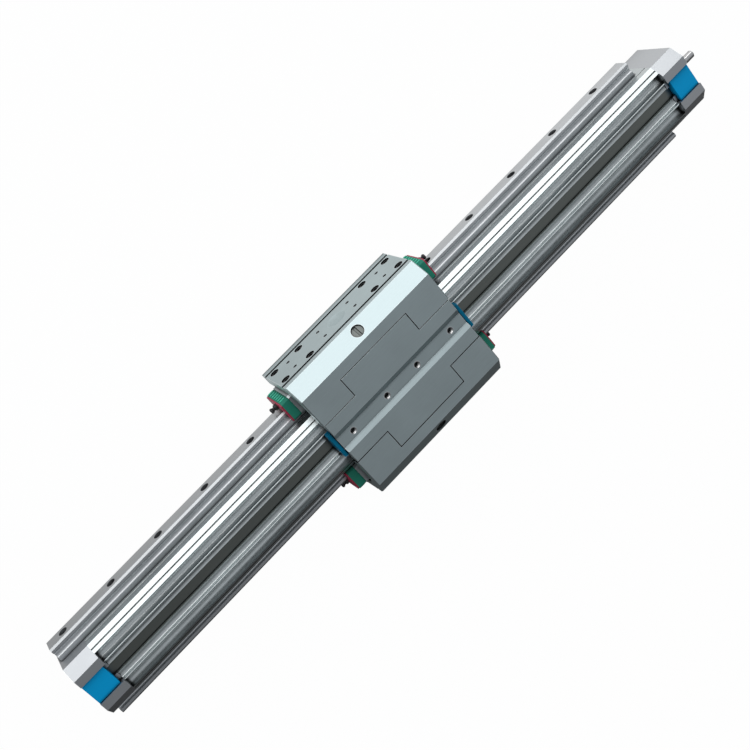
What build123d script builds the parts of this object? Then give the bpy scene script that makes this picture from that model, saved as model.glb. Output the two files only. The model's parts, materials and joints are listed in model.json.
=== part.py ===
from build123d import *
import os

# Linear module: a ball-screw axis with a rail on each flank of an extruded beam and a carriage
# that wraps round three sides of it. Millimetres. X runs along the module towards the drive end,
# Y from rail to rail, Z up from the mounting face to the front that carries the cover strip.

# Beam and end caps
beam_length = 763.0
beam_half_width = 32.5
beam_corner_radius = 7.0
front_height = 73.0
cap_length = 29.5
cap_half_width = 32.4
cap_chamfer = 11.1
cap_screw_y = 24.5
cap_screw_low_z = 8.5
cap_screw_high_z = 59.5
cavity_half_width = 21.0
cavity_floor_z = 12.0
cavity_shoulder_z = 50.0
cavity_corner = 4.0
cavity_throat_y = 14.0
cavity_throat_z = 56.0
slot_half_width = 3.8
slot_root_z = 59.0
ridge_y = 25.2
rim_outer_y = 14.2
rim_height = 71.0
rim_round = 0.8
recess_half_width = 12.5
recess_lean = 0.5
shelf_outer_z = 67.0
shelf_middle_y = 9.5
shelf_middle_z = 65.4
shelf_inner_y = 6.0
shelf_inner_z = 65.9
channel_bottom_y = 20.0
channel_bottom_z = 62.6
line_groove = 1.6
line_groove_shift = 0.5
tslot_y = 14.5
tslot_opening = 8.2
tslot_lip = 3.5
tslot_inner_width = 12.0
tslot_depth = 8.0

# Cover strip and its clamps
strip_width = 10.0
strip_thickness = 0.4
strip_seat_z = 61.8
strip_side_gap = 0.3
strip_grip = 12.0
strip_lead_in = 1.7
strip_ramp = 35.0
clamp_length = 25.5
clamp_width = 24.4
clamp_floor_z = 66.0
clamp_top_z = 70.4
clamp_gap = 0.2
clamp_chamfer = 0.3

# Rails
rail_axis_z = 36.0
rail_width = 20.0
rail_height = 15.5
rail_length = 780.0
rail_inset = 2.8
rail_pitch = 60.0
rail_first_hole = 18.5
rail_end_margin = 15.0
rail_hole_diameter = 6.0
rail_counterbore_diameter = 9.5
rail_counterbore_depth = 8.5
rail_top_width = 17.0
rail_shoulder_height = 13.6
track_low = 4.2
track_high = 11.2
track_depth = 2.3
rail_end_hole_diameter = 5.0
rail_end_hole_depth = 12.0

# Screws: thread diameter, head diameter, head height, socket size
cap_screw = (6.0, 11.0, 6.0, 5.5)
rail_screw = (5.0, 8.5, 5.0, 4.0)
block_screw = (5.0, 8.5, 5.0, 4.0)
plate_screw = (4.0, 7.0, 4.0, 3.0)
cap_counterbore = 12.6
cap_counterbore_depth = 7.0
screw_clearance = 0.3
head_recess = 1.0
thread_clearance = 0.05
thread_run_out = 1.5
cap_screw_length = 38.0
rail_screw_length = 16.0
block_screw_length = 14.0
plate_screw_length = 8.0

# Guide blocks
block_lift = 5.0
block_width = 42.0
block_body_length = 54.0
block_cap_length = 9.0
block_seal_length = 1.5
block_centre_inset = 24.35
block_hole_x = 32.0
block_hole_z = 32.0
block_edge = 2.0
block_running_gap = 0.4
block_cap_inset = 0.6
seal_inset = 1.2
nipple_drop = 7.5
nipple_length = 8.0
nipple_base_radius = 3.2
nipple_neck_radius = 1.9
nipple_head_radius = 2.8
nipple_tip_radius = 2.0

# Carriage
carriage_x = -12.8
bracket_length = 167.4
end_bevel = 1.0
carriage_top_z = 84.0
carriage_half_width = 72.0
carriage_chamfer = 14.75
flange_thickness = 10.6
side_plate_thickness = 11.5
side_plate_gap = 1.0
inner_web = 11.0
seam_gap = 0.5
seam_bevel = 0.5
seam_narrow_y = 25.0
seam_wide_y = 46.3
seam_step_x = 43.5
channel_half_width = 11.2
channel_floor_half_width = 6.2
channel_depth = 3.0
front_hole_diameter = 6.8
front_hole_inner_x = 20.2
front_hole_outer_x = 65.5
front_hole_depth = 6.0
side_groove_offset = 24.4
side_groove_width = 4.0
side_groove_depth = 1.0
side_hole_diameter = 4.2
side_hole_depth = 9.0
side_hole_pitch = 40.0
side_hole_rows = 20.0
dish_diameter = 22.0
dish_depth = 3.0
plug_bore_diameter = 13.0
plug_bore_depth = 7.0
tunnel_side_gap = 1.3
tunnel_height = 1.4
wiper_thickness = 4.5
wiper_top_z = 80.0
wiper_gap = 0.3
wiper_flare = 2.3
wiper_chamfer = 1.0

# Screw drive
screw_diameter = 16.0
nut_running_gap = 0.05
nut_body_diameter = 28.0
nut_flange_diameter = 34.0
nut_flange_thickness = 8.0
nut_length = 42.0
nut_seat_gap = 0.1
nut_bracket_inset = 23.7
saddle_inset = 38.7
nut_bracket_half_width = 17.5
nut_bracket_low_z = 18.0
nut_bracket_bevel = 3.0
saddle_screw_y = 18.0
saddle_screw_inset = 8.0
neck_half_width = 3.2
saddle_half_width = 22.0
saddle_low_z = 71.4
saddle_strip_gap = 0.2
drive_seat_diameter = 12.0
drive_bearing_diameter = 28.0
free_seat_diameter = 10.0
free_bearing_diameter = 26.0
bearing_width = 8.0
bearing_ring = 3.0
bearing_gap = 0.4
stub_diameter = 8.0
stub_projection = 31.0
stub_chamfer = 0.8
lock_nut_diameter = 21.0
lock_nut_width = 7.0
lock_nut_bore = 23.0
retainer_diameter = 38.0
retainer_thickness = 4.0
bumper_diameter = 32.0
bumper_bore = 20.0
bumper_free_length = 37.7
bumper_drive_length = 51.3

# Small threaded holes on the free cap's end face, from the photograph's inset view
end_hole_diameter = 4.2
end_hole_depth = 10.0
end_hole_side_y = 26.6
end_hole_front_z = 48.5
end_hole_back_z = 20.0
end_hole_base_y = 14.2
end_hole_base_z = 6.0

beam_end = beam_length / 2
cap_end = beam_end + cap_length
rail_start = -cap_end + rail_inset
rail_hole_count = int((rail_length - rail_first_hole - rail_end_margin) // rail_pitch) + 1
rail_top_y = beam_half_width + rail_height
block_back_y = carriage_half_width - side_plate_thickness
block_height = block_back_y - beam_half_width
block_pitch = bracket_length - 2 * block_centre_inset
nipple_height = block_height - nipple_drop
block_face_y = beam_half_width + block_lift
flange_low_z = carriage_top_z - flange_thickness
flat_half_width = carriage_half_width - carriage_chamfer
side_top_z = carriage_top_z - carriage_chamfer
screw_seat_y = carriage_half_width - block_screw[2] - head_recess
strip_top_z = strip_seat_z + strip_thickness
clamp_inner_x = cap_end - clamp_length
strip_end = clamp_inner_x + strip_grip
strip_rise_start = bracket_length / 2 - strip_lead_in
strip_rise_end = strip_rise_start - strip_ramp
nut_bracket_half_length = bracket_length / 2 - nut_bracket_inset
saddle_half_length = bracket_length / 2 - saddle_inset
screw_axis = (0, 0, rail_axis_z)

os.makedirs("parts", exist_ok=True)


def save(part, name):
    part.label = name
    export_step(part, f"parts/{name}.step")


def across_x(x):
    """Section plane across the module: local x is Y, local y is Z, the normal is +X."""
    return Plane.YZ.offset(x)


def flank(side, y):
    """Plane on a flank, its normal pointing out of the module; local y is Z."""
    return Plane(origin=(0, side * y, 0), x_dir=(-side, 0, 0), z_dir=(0, side, 0))


def socket_screw(plane, spots, size, length):
    """Socket head screws whose heads stand on the plane and whose shanks go down through it."""
    thread, head, head_height, socket = size
    with BuildPart() as screws:
        with BuildSketch(plane):
            with Locations(*spots):
                Circle(head / 2)
        extrude(amount=head_height)
        with BuildSketch(plane):
            with Locations(*spots):
                Circle(thread / 2)
        extrude(amount=-length)
        with BuildSketch(plane.offset(head_height)):
            with Locations(*spots):
                RegularPolygon(socket / 2, 6, major_radius=False)
        extrude(amount=-head_height * 0.6, mode=Mode.SUBTRACT)
    return screws.part


# Beam
cap_spots = [(y, z) for y in (-cap_screw_y, cap_screw_y) for z in (cap_screw_low_z, cap_screw_high_z)]
rail_hole_x = [rail_start + rail_first_hole + i * rail_pitch for i in range(rail_hole_count)]
chamfer_sum = beam_half_width + front_height - cap_chamfer
rim_middle_y = (rim_outer_y + recess_half_width) / 2
strip_groove_y = strip_width / 2 + strip_side_gap
groove_y = (ridge_y + beam_half_width) / 2 - line_groove_shift
outline_side_z = chamfer_sum - beam_half_width
cap_thread_depth = cap_screw_length - (cap_length - cap_counterbore_depth) + thread_run_out
rail_thread_depth = rail_screw_length - (rail_height - rail_counterbore_depth) + thread_run_out

with BuildPart() as beam_extrusion:
    with BuildSketch(across_x(-beam_end)):
        with BuildLine():
            Line((0, 0), (beam_half_width - beam_corner_radius, 0))
            RadiusArc(
                (beam_half_width - beam_corner_radius, 0),
                (beam_half_width, beam_corner_radius),
                -beam_corner_radius,
            )
            Polyline(
                (beam_half_width, beam_corner_radius),
                (beam_half_width, outline_side_z),
                (ridge_y, chamfer_sum - ridge_y),
            )
            ThreePointArc(
                (ridge_y, chamfer_sum - ridge_y),
                (channel_bottom_y, channel_bottom_z),
                (rim_outer_y, rim_height - rim_round),
            )
            ThreePointArc(
                (rim_outer_y, rim_height - rim_round),
                (rim_middle_y, rim_height),
                (recess_half_width, rim_height - rim_round),
            )
            Line(
                (recess_half_width, rim_height - rim_round),
                (recess_half_width - recess_lean, shelf_outer_z),
            )
            ThreePointArc(
                (recess_half_width - recess_lean, shelf_outer_z),
                (shelf_middle_y, shelf_middle_z),
                (shelf_inner_y, shelf_inner_z),
            )
            Polyline(
                (shelf_inner_y, shelf_inner_z),
                (strip_groove_y, strip_seat_z),
                (slot_half_width, strip_seat_z),
                (slot_half_width, slot_root_z),
                (cavity_throat_y, cavity_throat_z),
                (cavity_half_width, cavity_shoulder_z),
                (cavity_half_width, cavity_floor_z + cavity_corner),
                (cavity_half_width - cavity_corner, cavity_floor_z),
                (0, cavity_floor_z),
            )
            mirror(about=Plane.YZ)
        make_face()
        for y in (-tslot_y, tslot_y):
            with Locations((y, tslot_depth / 2)):
                Rectangle(tslot_opening, tslot_depth, mode=Mode.SUBTRACT)
            with Locations((y, (tslot_lip + tslot_depth) / 2)):
                Rectangle(tslot_inner_width, tslot_depth - tslot_lip, mode=Mode.SUBTRACT)
        for side in (-1, 1):
            with Locations((side * groove_y, chamfer_sum - groove_y)):
                Rectangle(line_groove, line_groove, rotation=45, mode=Mode.SUBTRACT)
            for z in (rail_axis_z - rail_width * 0.8, rail_axis_z + rail_width * 0.8):
                with Locations((side * beam_half_width, z)):
                    Rectangle(line_groove, line_groove, rotation=45, mode=Mode.SUBTRACT)
    extrude(amount=beam_length)
    for end in (-1, 1):
        with BuildSketch(across_x(end * beam_end)):
            with Locations(*cap_spots):
                Circle(cap_screw[0] / 2 + thread_clearance)
        extrude(amount=-end * cap_thread_depth, mode=Mode.SUBTRACT)
    for side in (-1, 1):
        with BuildSketch(flank(side, beam_half_width)):
            with Locations(*[(-side * x, rail_axis_z) for x in rail_hole_x if abs(x) < beam_end]):
                Circle(rail_screw[0] / 2 + thread_clearance)
        extrude(amount=-rail_thread_depth, mode=Mode.SUBTRACT)
save(beam_extrusion.part, "beam_extrusion")


# End caps
def cap_blank(end):
    """End block with two front chamfers, the clamp pocket and four counterbored screw holes."""
    outer = end * cap_end
    with BuildPart() as cap:
        with BuildSketch(across_x(end * beam_end)):
            with BuildLine():
                Line((0, 0), (cap_half_width - beam_corner_radius, 0))
                RadiusArc(
                    (cap_half_width - beam_corner_radius, 0),
                    (cap_half_width, beam_corner_radius),
                    -beam_corner_radius,
                )
                Polyline(
                    (cap_half_width, beam_corner_radius),
                    (cap_half_width, front_height - cap_chamfer),
                    (cap_half_width - cap_chamfer, front_height),
                    (0, front_height),
                )
                mirror(about=Plane.YZ)
            make_face()
            with Locations((0, (clamp_floor_z + front_height) / 2)):
                Rectangle(clamp_width + 2 * clamp_gap, front_height - clamp_floor_z, mode=Mode.SUBTRACT)
        extrude(amount=end * cap_length)
        with BuildSketch(across_x(end * beam_end)):
            with Locations((0, (strip_seat_z + clamp_floor_z) / 2)):
                Rectangle(2 * strip_groove_y, clamp_floor_z - strip_seat_z)
        extrude(amount=end * (strip_end - beam_end), mode=Mode.SUBTRACT)
        with BuildSketch(across_x(end * beam_end)):
            with Locations(*cap_spots):
                Circle(cap_screw[0] / 2 + screw_clearance)
        extrude(amount=end * cap_length, mode=Mode.SUBTRACT)
        with BuildSketch(across_x(outer)):
            with Locations(*cap_spots):
                Circle(cap_counterbore / 2)
        extrude(amount=-end * cap_counterbore_depth, mode=Mode.SUBTRACT)
    return cap.part


def bore(x, depth, diameter):
    """Round hole on the screw axis from x, as a solid to take away."""
    with BuildPart() as hole:
        with BuildSketch(across_x(x)):
            with Locations((0, rail_axis_z)):
                Circle(diameter / 2)
        extrude(amount=depth)
    return hole.part


end_hole_spots = [
    (side * y, z)
    for side in (-1, 1)
    for y, z in (
        (end_hole_side_y, end_hole_front_z),
        (end_hole_side_y, end_hole_back_z),
        (end_hole_base_y, end_hole_base_z),
    )
]

with BuildPart() as end_cap_free:
    add(cap_blank(-1))
    add(bore(-beam_end, -bearing_width, free_bearing_diameter), mode=Mode.SUBTRACT)
    with BuildSketch(across_x(-cap_end)):
        with Locations(*end_hole_spots):
            Circle(end_hole_diameter / 2)
    extrude(amount=end_hole_depth, mode=Mode.SUBTRACT)
save(end_cap_free.part, "end_cap_free")

with BuildPart() as end_cap_drive:
    add(cap_blank(1))
    add(bore(beam_end, 2 * bearing_width, drive_bearing_diameter), mode=Mode.SUBTRACT)
    add(bore(beam_end, cap_length, lock_nut_bore), mode=Mode.SUBTRACT)
save(end_cap_drive.part, "end_cap_drive")

for end, name in ((-1, "free"), (1, "drive")):
    head_x = end * (cap_end - cap_counterbore_depth)
    seat = Plane(origin=(head_x, 0, 0), x_dir=(0, 1, 0), z_dir=(end, 0, 0))
    spots = [(y, end * z) for y, z in cap_spots]
    save(socket_screw(seat, spots, cap_screw, cap_screw_length), f"end_cap_screws_{name}")

# Strip clamps: coloured blocks in the pockets, each with a foot that holds the strip's end down
for end, name in ((-1, "free"), (1, "drive")):
    inner_x = end * clamp_inner_x
    with BuildPart() as strip_clamp:
        with BuildSketch(across_x(inner_x)):
            with Locations((0, (clamp_floor_z + clamp_top_z) / 2)):
                Rectangle(clamp_width, clamp_top_z - clamp_floor_z)
        extrude(amount=end * clamp_length)
        outer_edges = strip_clamp.edges().filter_by(Axis.Y).sort_by(Axis.Z)[-2:]
        chamfer(outer_edges, clamp_chamfer)
        with BuildSketch(across_x(inner_x)):
            with Locations((0, (strip_top_z + clamp_floor_z) / 2)):
                Rectangle(strip_width, clamp_floor_z - strip_top_z)
        extrude(amount=end * strip_grip)
    save(strip_clamp.part, f"strip_clamp_{name}")

# Cover strip: it lies on the slot's lips from clamp to clamp and is lifted over the saddle
strip_lift = flange_low_z + saddle_strip_gap - strip_seat_z
with BuildPart() as cover_strip:
    with BuildSketch(Plane.XZ.offset(-strip_width / 2)):
        with BuildLine():
            bottom = Polyline(
                (-strip_end, strip_seat_z),
                (carriage_x - strip_rise_start, strip_seat_z),
                (carriage_x - strip_rise_end, strip_seat_z + strip_lift),
                (carriage_x + strip_rise_end, strip_seat_z + strip_lift),
                (carriage_x + strip_rise_start, strip_seat_z),
                (strip_end, strip_seat_z),
            )
            top = Polyline(*[(p.X, p.Y + strip_thickness) for p in bottom.vertices().sort_by(Axis.X)])
            Line(bottom @ 0, top @ 0)
            Line(bottom @ 1, top @ 1)
        make_face()
    extrude(amount=strip_width)
save(cover_strip.part, "cover_strip")


# Rails
def rail_outline(grow=0.0):
    """Half of the rail's section as a list of corner points, grown outwards by a clearance."""
    half = rail_width / 2 + grow
    return (
        [(0, -grow), (half, -grow), (half, track_low + grow)],
        (half - track_depth, (track_low + track_high) / 2),
        [
            (half, track_high - grow),
            (half, rail_shoulder_height + grow / 2),
            (rail_top_width / 2 + grow, rail_height + grow),
            (0, rail_height + grow),
        ],
    )


def rail_face(grow=0.0):
    """Full rail section whose local y points away from the beam."""
    base, waist, head = rail_outline(grow)
    with BuildSketch() as section:
        with BuildLine():
            Polyline(*base)
            ThreePointArc(base[-1], waist, head[0])
            Polyline(*head)
            mirror(about=Plane.YZ)
        make_face()
    return section.sketch


def rail_section_plane(x):
    """Section plane at the left rail: local x is -Z, local y is +Y, the normal is +X."""
    return Plane(origin=(x, beam_half_width, rail_axis_z), x_dir=(0, 0, -1), z_dir=(1, 0, 0))


left_flank = flank(1, beam_half_width)
rail_spots = [(-x, rail_axis_z) for x in rail_hole_x]

with BuildPart() as rail_left:
    with BuildSketch(rail_section_plane(rail_start)):
        add(rail_face())
    extrude(amount=rail_length)
    with BuildSketch(left_flank):
        with Locations(*rail_spots):
            Circle(rail_hole_diameter / 2)
    extrude(amount=rail_height, mode=Mode.SUBTRACT)
    with BuildSketch(left_flank.offset(rail_height)):
        with Locations(*rail_spots):
            Circle(rail_counterbore_diameter / 2)
    extrude(amount=-rail_counterbore_depth, mode=Mode.SUBTRACT)
    for x, way in ((rail_start, 1), (rail_start + rail_length, -1)):
        with BuildSketch(rail_section_plane(x)):
            with Locations((0, rail_height / 2)):
                Circle(rail_end_hole_diameter / 2)
        extrude(amount=way * rail_end_hole_depth, mode=Mode.SUBTRACT)
save(rail_left.part, "rail_left")

with BuildPart() as rail_right:
    mirror(rail_left.part, about=Plane.XZ)
save(rail_right.part, "rail_right")

rail_head_y = rail_height - rail_counterbore_depth
seated_spots = [(-x, rail_axis_z) for x in rail_hole_x if abs(x) < beam_end]
left_rail_screws = socket_screw(left_flank.offset(rail_head_y), seated_spots, rail_screw, rail_screw_length)
save(left_rail_screws, "rail_screws_left")
with BuildPart() as rail_screws_right:
    mirror(left_rail_screws, about=Plane.XZ)
save(rail_screws_right.part, "rail_screws_right")


# Guide blocks: a steel saddle, two end caps, two seals and a grease nipple on each
def block_slice(x, length, inset, gap):
    """Slice of a guide block over the left rail, from x, shrunk by inset, with the rail cut out."""
    wide = block_width - 2 * inset
    tall = block_height - block_lift - inset
    with BuildPart() as slice_part:
        with BuildSketch(rail_section_plane(x)):
            with Locations((0, block_lift + tall / 2)):
                Rectangle(wide, tall)
        extrude(amount=length)
        chamfer(slice_part.edges().filter_by(Axis.X), block_edge)
        with BuildSketch(rail_section_plane(x)):
            add(rail_face(gap))
        extrude(amount=length, mode=Mode.SUBTRACT)
    return slice_part.part


block_hole_spots = [
    (x, rail_axis_z + z) for x in (-block_hole_x / 2, block_hole_x / 2) for z in (-block_hole_z / 2, block_hole_z / 2)
]
block_thread_depth = block_screw_length - (screw_seat_y - block_back_y) + thread_run_out


def guide_block(side, x, name):
    """The pieces of one guide block centred at x on the left (+1) or right (-1) rail."""
    low = x - block_body_length / 2
    high = x + block_body_length / 2
    with BuildPart() as body:
        add(block_slice(low, block_body_length, 0, block_running_gap))
        with BuildSketch(flank(1, block_back_y)):
            with Locations(*[(-x - px, pz) for px, pz in block_hole_spots]):
                Circle(block_screw[0] / 2 + thread_clearance)
        extrude(amount=-block_thread_depth, mode=Mode.SUBTRACT)
    with BuildPart() as caps:
        for start in (low - block_cap_length, high):
            add(block_slice(start, block_cap_length, block_cap_inset, 2 * block_running_gap))
    with BuildPart() as seals:
        for start in (low - block_cap_length - block_seal_length, high + block_cap_length):
            add(block_slice(start, block_seal_length, seal_inset, block_running_gap))
    outward = 1 if x > carriage_x else -1
    tip = x + outward * (block_body_length / 2 + block_cap_length + block_seal_length)
    nipple_plane = Plane(
        origin=(tip, beam_half_width + nipple_height, rail_axis_z),
        x_dir=(0, 0, 1),
        z_dir=(0, 1, 0),
    )
    with BuildPart() as nipple:
        with BuildSketch(nipple_plane):
            with BuildLine():
                Polyline(
                    (0, 0),
                    (nipple_base_radius, 0),
                    (nipple_base_radius, outward * nipple_length * 0.35),
                    (nipple_neck_radius, outward * nipple_length * 0.45),
                    (nipple_neck_radius, outward * nipple_length * 0.6),
                    (nipple_head_radius, outward * nipple_length * 0.75),
                    (nipple_head_radius, outward * nipple_length * 0.9),
                    (nipple_tip_radius, outward * nipple_length),
                    (0, outward * nipple_length),
                    close=True,
                )
            make_face()
        revolve(axis=Axis(origin=(tip, beam_half_width + nipple_height, rail_axis_z), direction=(1, 0, 0)))
    pieces = {"block": body, "block_caps": caps, "block_seals": seals, "grease_nipple": nipple}
    for kind, piece in pieces.items():
        if side > 0:
            save(piece.part, f"{kind}_{name}")
        else:
            with BuildPart() as mirrored:
                mirror(piece.part, about=Plane.XZ)
            save(mirrored.part, f"{kind}_{name}")


for side, side_name in ((1, "left"), (-1, "right")):
    for way, way_name in ((-1, "free"), (1, "drive")):
        guide_block(side, carriage_x + way * block_pitch / 2, f"{side_name}_{way_name}")

# Side brackets: front flange, chamfered shoulder and side plate in one angle section
bracket_start = carriage_x - bracket_length / 2
block_x = [carriage_x + way * block_pitch / 2 for way in (-1, 1)]
side_screw_spots = [(-x - px, pz) for x in block_x for px, pz in block_hole_spots]
side_hole_spots = [
    (-carriage_x + side_hole_pitch * k, rail_axis_z + row * side_hole_rows / 2)
    for k in (-1.5, -0.5, 0.5, 1.5)
    for row in (-1, 1)
]
left_face = flank(1, carriage_half_width)
chamfer_plane = Plane(
    origin=(
        carriage_x,
        carriage_half_width - carriage_chamfer / 2,
        carriage_top_z - carriage_chamfer / 2,
    ),
    x_dir=(1, 0, 0),
    z_dir=(0, 1, 1),
)

with BuildPart() as side_bracket_left:
    with BuildSketch(across_x(bracket_start)):
        with BuildLine():
            Polyline(
                (seam_narrow_y, carriage_top_z),
                (flat_half_width, carriage_top_z),
                (carriage_half_width, side_top_z),
                (carriage_half_width, side_plate_gap),
                (block_back_y, side_plate_gap),
                (block_back_y, flange_low_z - inner_web),
                (block_back_y - inner_web, flange_low_z),
                (seam_narrow_y, flange_low_z),
                close=True,
            )
        make_face()
        for z in (rail_axis_z - side_groove_offset, rail_axis_z + side_groove_offset):
            with Locations((carriage_half_width, z)):
                Rectangle(2 * side_groove_depth, side_groove_width, mode=Mode.SUBTRACT)
    extrude(amount=bracket_length)
    end_edges = side_bracket_left.faces().filter_by(Axis.X).edges()
    flat_ends = end_edges.filter_by(Axis.Y).group_by(Axis.Z)[-1]
    shoulder_middle_y = carriage_half_width - carriage_chamfer / 2
    shoulder_ends = end_edges.filter_by(lambda e: abs(e.center().Y - shoulder_middle_y) < 0.1)
    chamfer(flat_ends + shoulder_ends, end_bevel)
    with BuildSketch(Plane.XY.offset(carriage_top_z)):
        with Locations((carriage_x, (seam_narrow_y + seam_wide_y) / 2)):
            Rectangle(2 * seam_step_x, seam_wide_y - seam_narrow_y)
    extrude(amount=-flange_thickness, mode=Mode.SUBTRACT)
    with BuildSketch(left_face):
        with Locations(*side_screw_spots):
            Circle(block_screw[1] / 2 + 2 * screw_clearance)
    extrude(amount=screw_seat_y - carriage_half_width, mode=Mode.SUBTRACT)
    with BuildSketch(left_face):
        with Locations(*side_screw_spots):
            Circle(block_screw[0] / 2 + screw_clearance)
    extrude(amount=block_back_y - carriage_half_width, mode=Mode.SUBTRACT)
    with BuildSketch(left_face):
        with Locations(*side_hole_spots):
            Circle(side_hole_diameter / 2)
    extrude(amount=-side_hole_depth, mode=Mode.SUBTRACT)
    dish_radius = (dish_diameter**2 / 4 + dish_depth**2) / (2 * dish_depth)
    with Locations((carriage_x, carriage_half_width - dish_depth + dish_radius, rail_axis_z)):
        Sphere(dish_radius, mode=Mode.SUBTRACT)
    with BuildSketch(chamfer_plane):
        Circle(plug_bore_diameter / 2)
    extrude(amount=-plug_bore_depth, mode=Mode.SUBTRACT)
save(side_bracket_left.part, "side_bracket_left")

with BuildPart() as side_bracket_right:
    mirror(side_bracket_left.part, about=Plane.XZ)
save(side_bracket_right.part, "side_bracket_right")

left_block_screws = socket_screw(flank(1, screw_seat_y), side_screw_spots, block_screw, block_screw_length)
save(left_block_screws, "block_screws_left")
with BuildPart() as block_screws_right:
    mirror(left_block_screws, about=Plane.XZ)
save(block_screws_right.part, "block_screws_right")

# Centre plate: a stepped plate flush with the brackets, with a shallow channel down its middle
plate_length = bracket_length - 2 * end_bevel
front_hole_spots = [
    (carriage_x + x, 0) for x in (-front_hole_outer_x, -front_hole_inner_x, front_hole_inner_x, front_hole_outer_x)
]
saddle_screw_x = saddle_half_length - saddle_screw_inset
saddle_screw_spots = [
    (carriage_x + way * saddle_screw_x, side * saddle_screw_y) for way in (-1, 1) for side in (-1, 1)
]

with BuildPart() as centre_plate:
    with BuildSketch(Plane.XY.offset(flange_low_z)):
        with Locations((carriage_x, 0)):
            Rectangle(plate_length, 2 * (seam_narrow_y - seam_gap))
            Rectangle(2 * (seam_step_x - seam_gap), 2 * (seam_wide_y - seam_gap))
    extrude(amount=flange_thickness)
    chamfer(centre_plate.faces().sort_by(Axis.Z)[-1].edges(), seam_bevel)
    with BuildSketch(across_x(carriage_x - plate_length / 2)):
        with BuildLine():
            Polyline(
                (-channel_half_width, carriage_top_z),
                (-channel_floor_half_width, carriage_top_z - channel_depth),
                (channel_floor_half_width, carriage_top_z - channel_depth),
                (channel_half_width, carriage_top_z),
                close=True,
            )
        make_face()
        with Locations((0, flange_low_z + tunnel_height / 2)):
            Rectangle(strip_width + 2 * tunnel_side_gap, tunnel_height)
    extrude(amount=plate_length, mode=Mode.SUBTRACT)
    with BuildSketch(Plane.XY.offset(carriage_top_z - channel_depth)):
        with Locations(*front_hole_spots):
            Circle(front_hole_diameter / 2)
    extrude(amount=-front_hole_depth, mode=Mode.SUBTRACT)
    with BuildSketch(Plane.XY.offset(flange_low_z)):
        with Locations(*saddle_screw_spots):
            Circle(plate_screw[0] / 2 + thread_clearance)
    extrude(amount=plate_screw_length - (flange_low_z - saddle_low_z), mode=Mode.SUBTRACT)
save(centre_plate.part, "centre_plate")

# Strip wipers on the two ends of the centre plate, shaped to the beam's recess
wiper_half_width = recess_half_width - recess_lean - wiper_gap
wiper_tongue = strip_width / 2 - wiper_gap
wiper_rim_z = rim_height + wiper_gap
for way, name in ((-1, "free"), (1, "drive")):
    face_x = carriage_x + way * plate_length / 2
    with BuildPart() as wiper:
        with BuildSketch(across_x(face_x)):
            with BuildLine():
                Polyline(
                    (0, strip_top_z + wiper_gap),
                    (wiper_tongue, strip_top_z + wiper_gap),
                    (wiper_tongue, shelf_inner_z + wiper_gap),
                    (shelf_middle_y, shelf_inner_z + wiper_gap),
                    (wiper_half_width, shelf_outer_z + wiper_gap),
                    (wiper_half_width, wiper_rim_z),
                    (wiper_half_width + wiper_flare, wiper_rim_z),
                    (wiper_half_width + wiper_flare, wiper_top_z),
                    (0, wiper_top_z),
                )
                mirror(about=Plane.YZ)
            make_face()
        extrude(amount=way * wiper_thickness)
        chamfer(wiper.edges().filter_by(Axis.Y).sort_by(Axis.Z)[-2:], wiper_chamfer)
    save(wiper.part, f"strip_wiper_{name}")

# Nut bracket: a housing round the nut, a neck through the slot and a saddle under the plate
nut_bracket_top_z = cavity_shoulder_z
housing_height = nut_bracket_top_z - nut_bracket_low_z
with BuildPart() as nut_bracket:
    with BuildSketch(across_x(carriage_x - nut_bracket_half_length)):
        with Locations((0, nut_bracket_low_z + housing_height / 2)):
            Rectangle(2 * nut_bracket_half_width, housing_height)
    extrude(amount=2 * nut_bracket_half_length)
    chamfer(nut_bracket.edges().filter_by(Axis.X), nut_bracket_bevel)
    with BuildSketch(across_x(carriage_x - saddle_half_length)):
        with Locations((0, (nut_bracket_top_z + saddle_low_z) / 2)):
            Rectangle(2 * neck_half_width, saddle_low_z - nut_bracket_top_z)
        with Locations((0, (saddle_low_z + flange_low_z) / 2)):
            Rectangle(2 * saddle_half_width, flange_low_z - saddle_low_z)
    extrude(amount=2 * saddle_half_length)
    with BuildSketch(across_x(carriage_x - nut_bracket_half_length)):
        with Locations((0, rail_axis_z)):
            Circle(nut_body_diameter / 2 + nut_seat_gap)
    extrude(amount=2 * nut_bracket_half_length, mode=Mode.SUBTRACT)
    with BuildSketch(Plane.XY.offset(saddle_low_z)):
        with Locations(*saddle_screw_spots):
            Circle(plate_screw[0] / 2 + thread_clearance)
    extrude(amount=flange_low_z - saddle_low_z, mode=Mode.SUBTRACT)
save(nut_bracket.part, "nut_bracket")

# The plate screws go in from below, through the saddle and into the centre plate
with BuildPart() as plate_screws:
    with BuildSketch(Plane.XY.offset(saddle_low_z)):
        with Locations(*saddle_screw_spots):
            Circle(plate_screw[0] / 2)
    extrude(amount=plate_screw_length)
save(plate_screws.part, "saddle_screws")

# Ball nut
nut_flange_x = carriage_x + nut_bracket_half_length
with BuildPart() as ball_nut:
    with BuildSketch(across_x(nut_flange_x)):
        with Locations((0, rail_axis_z)):
            Circle(nut_flange_diameter / 2)
    extrude(amount=nut_flange_thickness)
    with BuildSketch(across_x(nut_flange_x)):
        with Locations((0, rail_axis_z)):
            Circle(nut_body_diameter / 2)
    extrude(amount=nut_flange_thickness - nut_length)
    with BuildSketch(across_x(nut_flange_x + nut_flange_thickness)):
        with Locations((0, rail_axis_z)):
            Circle(screw_diameter / 2 + nut_running_gap)
    extrude(amount=-nut_length, mode=Mode.SUBTRACT)
save(ball_nut.part, "ball_nut")

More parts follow.
